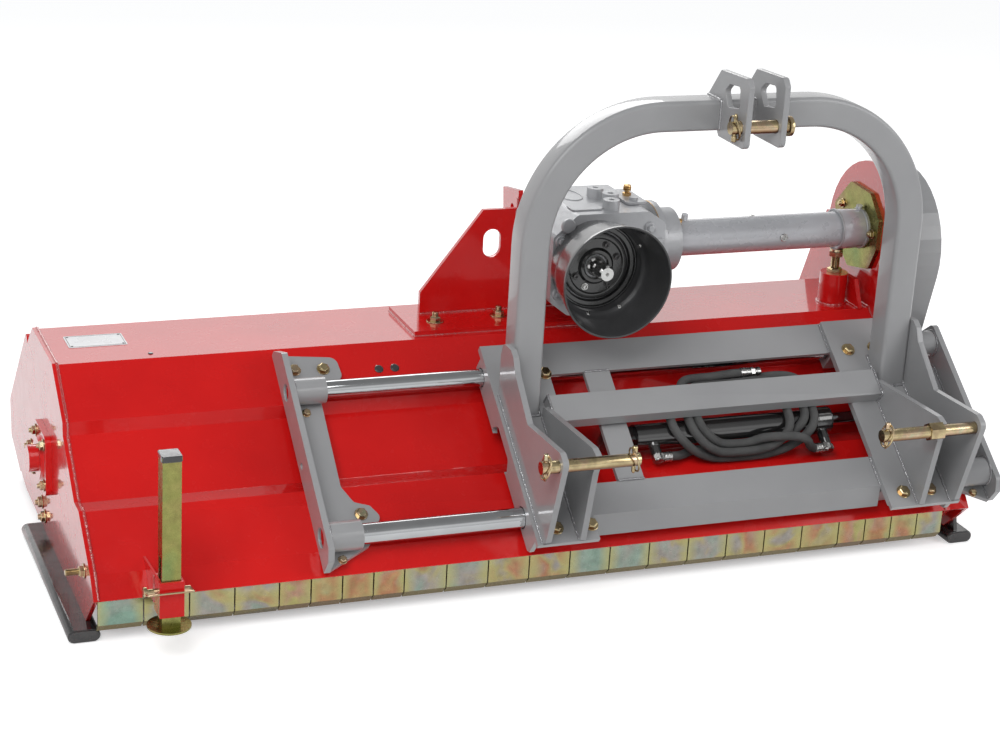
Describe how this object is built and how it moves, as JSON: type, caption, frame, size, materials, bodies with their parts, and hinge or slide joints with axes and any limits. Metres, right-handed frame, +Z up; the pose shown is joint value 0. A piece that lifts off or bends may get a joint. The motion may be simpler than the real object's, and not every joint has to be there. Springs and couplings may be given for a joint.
{
  "type": "flail mower",
  "caption": "Tractor flail mower: folded hood with hinged front flaps, hammer rotor, rear roller, belt drive, and a three-point headstock that a cylinder slides sideways on two rods.",
  "frame": {"origin": "centre of the bounding box's bottom face, on the ground", "axes": "+X across the machine to the belt side, +Y to the rear, +Z up"},
  "size_m": [1.91, 1.0352, 0.9997],
  "materials": {
    "red_paint": "gloss",
    "grey_paint": "satin",
    "pale_paint": "satin",
    "black_paint": "satin",
    "zinc_plate": "satin",
    "chrome": "polished",
    "bright_steel": "satin",
    "dark_steel": "satin",
    "cast_alloy": "satin",
    "guard_plastic": "matte",
    "rubber_black": "matte"
  },
  "bodies": {
    "deck": {"hood_shell": "red_paint", "end_plate_left": "red_paint", "end_plate_right": "red_paint", "side_skids": "dark_steel", "flap_rod": "bright_steel", "stand_socket": "red_paint", "stand_pin": "zinc_plate", "slide_brackets": "grey_paint", "slide_rods": "chrome", "gearbox_mount": "red_paint", "gearbox_housing": "cast_alloy", "pto_guard": "guard_plastic", "cross_tube": "pale_paint", "bearing_flange": "zinc_plate", "drive_plate": "red_paint", "belt_guard": "grey_paint", "rotor_bearings": "red_paint", "roller_brackets": "black_paint", "cylinder_rod": "chrome", "deck_bolts": "zinc_plate", "drive_belts": "rubber_black"},
    "headstock": {"headstock_frame": "grey_paint", "mast_arch": "grey_paint", "link_lugs": "grey_paint", "slide_bushes": "grey_paint", "hitch_pins": "zinc_plate", "headstock_fasteners": "zinc_plate", "cylinder_barrel": "black_paint", "hydraulic_hoses": "rubber_black"},
    "rotor": {"rotor_shaft": "dark_steel", "hammers": "dark_steel", "driven_pulley": "dark_steel"},
    "cross_drive": {"cross_shaft": "bright_steel", "drive_pulley": "dark_steel"},
    "input": {"pto_shaft": "bright_steel"},
    "roller": {"rear_roller": "black_paint"},
    "stand": {"parking_stand": "zinc_plate"},
    "swing_01": {"flap_01": "zinc_plate"},
    "swing_02": {"flap_02": "zinc_plate"},
    "swing_03": {"flap_03": "zinc_plate"},
    "swing_04": {"flap_04": "zinc_plate"},
    "swing_05": {"flap_05": "zinc_plate"},
    "swing_06": {"flap_06": "zinc_plate"},
    "swing_07": {"flap_07": "zinc_plate"},
    "swing_08": {"flap_08": "zinc_plate"},
    "swing_09": {"flap_09": "zinc_plate"},
    "swing_10": {"flap_10": "zinc_plate"},
    "swing_11": {"flap_11": "zinc_plate"},
    "swing_12": {"flap_12": "zinc_plate"},
    "swing_13": {"flap_13": "zinc_plate"},
    "swing_14": {"flap_14": "zinc_plate"},
    "swing_15": {"flap_15": "zinc_plate"},
    "swing_16": {"flap_16": "zinc_plate"},
    "swing_17": {"flap_17": "zinc_plate"},
    "swing_18": {"flap_18": "zinc_plate"},
    "swing_19": {"flap_19": "zinc_plate"},
    "swing_20": {"flap_20": "zinc_plate"},
    "swing_21": {"flap_21": "zinc_plate"},
    "swing_22": {"flap_22": "zinc_plate"},
    "swing_23": {"flap_23": "zinc_plate"}
  },
  "joints": [
    {"name": "headstock_slide", "type": "slide", "parent": "deck", "child": "headstock", "axis": [1, 0, 0], "range_m": [-0.26, 0.015]},
    {"name": "rotor_spin", "type": "hinge", "parent": "deck", "child": "rotor", "pos_m": [-0.015, 0.08637, 0.192], "axis": [1, 0, 0], "continuous": true},
    {"name": "cross_spin", "type": "hinge", "parent": "deck", "child": "cross_drive", "pos_m": [0.685, 0.06837, 0.573], "axis": [1, 0, 0], "continuous": true},
    {"name": "input_spin", "type": "hinge", "parent": "deck", "child": "input", "pos_m": [0.152, -0.07763, 0.573], "axis": [0, 1, 0], "continuous": true},
    {"name": "roller_spin", "type": "hinge", "parent": "deck", "child": "roller", "pos_m": [-0.015, 0.43236, 0.08], "axis": [1, 0, 0], "continuous": true},
    {"name": "stand_slide", "type": "slide", "parent": "deck", "child": "stand", "axis": [0, 0, 1], "range_m": [-0.06, 0.02]},
    {"name": "flap_01_swing", "type": "hinge", "parent": "deck", "child": "swing_01", "pos_m": [-0.915, -0.35163, 0.103], "axis": [1, 0, 0], "range_deg": [-10, 75]},
    {"name": "flap_02_swing", "type": "hinge", "parent": "deck", "child": "swing_02", "pos_m": [-0.915, -0.35163, 0.103], "axis": [1, 0, 0], "range_deg": [-10, 75]},
    {"name": "flap_03_swing", "type": "hinge", "parent": "deck", "child": "swing_03", "pos_m": [-0.915, -0.35163, 0.103], "axis": [1, 0, 0], "range_deg": [-10, 75]},
    {"name": "flap_04_swing", "type": "hinge", "parent": "deck", "child": "swing_04", "pos_m": [-0.915, -0.35163, 0.103], "axis": [1, 0, 0], "range_deg": [-10, 75]},
    {"name": "flap_05_swing", "type": "hinge", "parent": "deck", "child": "swing_05", "pos_m": [-0.915, -0.35163, 0.103], "axis": [1, 0, 0], "range_deg": [-10, 75]},
    {"name": "flap_06_swing", "type": "hinge", "parent": "deck", "child": "swing_06", "pos_m": [-0.915, -0.35163, 0.103], "axis": [1, 0, 0], "range_deg": [-10, 75]},
    {"name": "flap_07_swing", "type": "hinge", "parent": "deck", "child": "swing_07", "pos_m": [-0.915, -0.35163, 0.103], "axis": [1, 0, 0], "range_deg": [-10, 75]},
    {"name": "flap_08_swing", "type": "hinge", "parent": "deck", "child": "swing_08", "pos_m": [-0.915, -0.35163, 0.103], "axis": [1, 0, 0], "range_deg": [-10, 75]},
    {"name": "flap_09_swing", "type": "hinge", "parent": "deck", "child": "swing_09", "pos_m": [-0.915, -0.35163, 0.103], "axis": [1, 0, 0], "range_deg": [-10, 75]},
    {"name": "flap_10_swing", "type": "hinge", "parent": "deck", "child": "swing_10", "pos_m": [-0.915, -0.35163, 0.103], "axis": [1, 0, 0], "range_deg": [-10, 75]},
    {"name": "flap_11_swing", "type": "hinge", "parent": "deck", "child": "swing_11", "pos_m": [-0.915, -0.35163, 0.103], "axis": [1, 0, 0], "range_deg": [-10, 75]},
    {"name": "flap_12_swing", "type": "hinge", "parent": "deck", "child": "swing_12", "pos_m": [-0.915, -0.35163, 0.103], "axis": [1, 0, 0], "range_deg": [-10, 75]},
    {"name": "flap_13_swing", "type": "hinge", "parent": "deck", "child": "swing_13", "pos_m": [-0.915, -0.35163, 0.103], "axis": [1, 0, 0], "range_deg": [-10, 75]},
    {"name": "flap_14_swing", "type": "hinge", "parent": "deck", "child": "swing_14", "pos_m": [-0.915, -0.35163, 0.103], "axis": [1, 0, 0], "range_deg": [-10, 75]},
    {"name": "flap_15_swing", "type": "hinge", "parent": "deck", "child": "swing_15", "pos_m": [-0.915, -0.35163, 0.103], "axis": [1, 0, 0], "range_deg": [-10, 75]},
    {"name": "flap_16_swing", "type": "hinge", "parent": "deck", "child": "swing_16", "pos_m": [-0.915, -0.35163, 0.103], "axis": [1, 0, 0], "range_deg": [-10, 75]},
    {"name": "flap_17_swing", "type": "hinge", "parent": "deck", "child": "swing_17", "pos_m": [-0.915, -0.35163, 0.103], "axis": [1, 0, 0], "range_deg": [-10, 75]},
    {"name": "flap_18_swing", "type": "hinge", "parent": "deck", "child": "swing_18", "pos_m": [-0.915, -0.35163, 0.103], "axis": [1, 0, 0], "range_deg": [-10, 75]},
    {"name": "flap_19_swing", "type": "hinge", "parent": "deck", "child": "swing_19", "pos_m": [-0.915, -0.35163, 0.103], "axis": [1, 0, 0], "range_deg": [-10, 75]},
    {"name": "flap_20_swing", "type": "hinge", "parent": "deck", "child": "swing_20", "pos_m": [-0.915, -0.35163, 0.103], "axis": [1, 0, 0], "range_deg": [-10, 75]},
    {"name": "flap_21_swing", "type": "hinge", "parent": "deck", "child": "swing_21", "pos_m": [-0.915, -0.35163, 0.103], "axis": [1, 0, 0], "range_deg": [-10, 75]},
    {"name": "flap_22_swing", "type": "hinge", "parent": "deck", "child": "swing_22", "pos_m": [-0.915, -0.35163, 0.103], "axis": [1, 0, 0], "range_deg": [-10, 75]},
    {"name": "flap_23_swing", "type": "hinge", "parent": "deck", "child": "swing_23", "pos_m": [-0.915, -0.35163, 0.103], "axis": [1, 0, 0], "range_deg": [-10, 75]}
  ],
  "couplings": [
    {"joint": "cross_spin", "follows": "rotor_spin", "ratio": 0.78947},
    {"joint": "input_spin", "follows": "rotor_spin", "ratio": 0.26316}
  ]
}
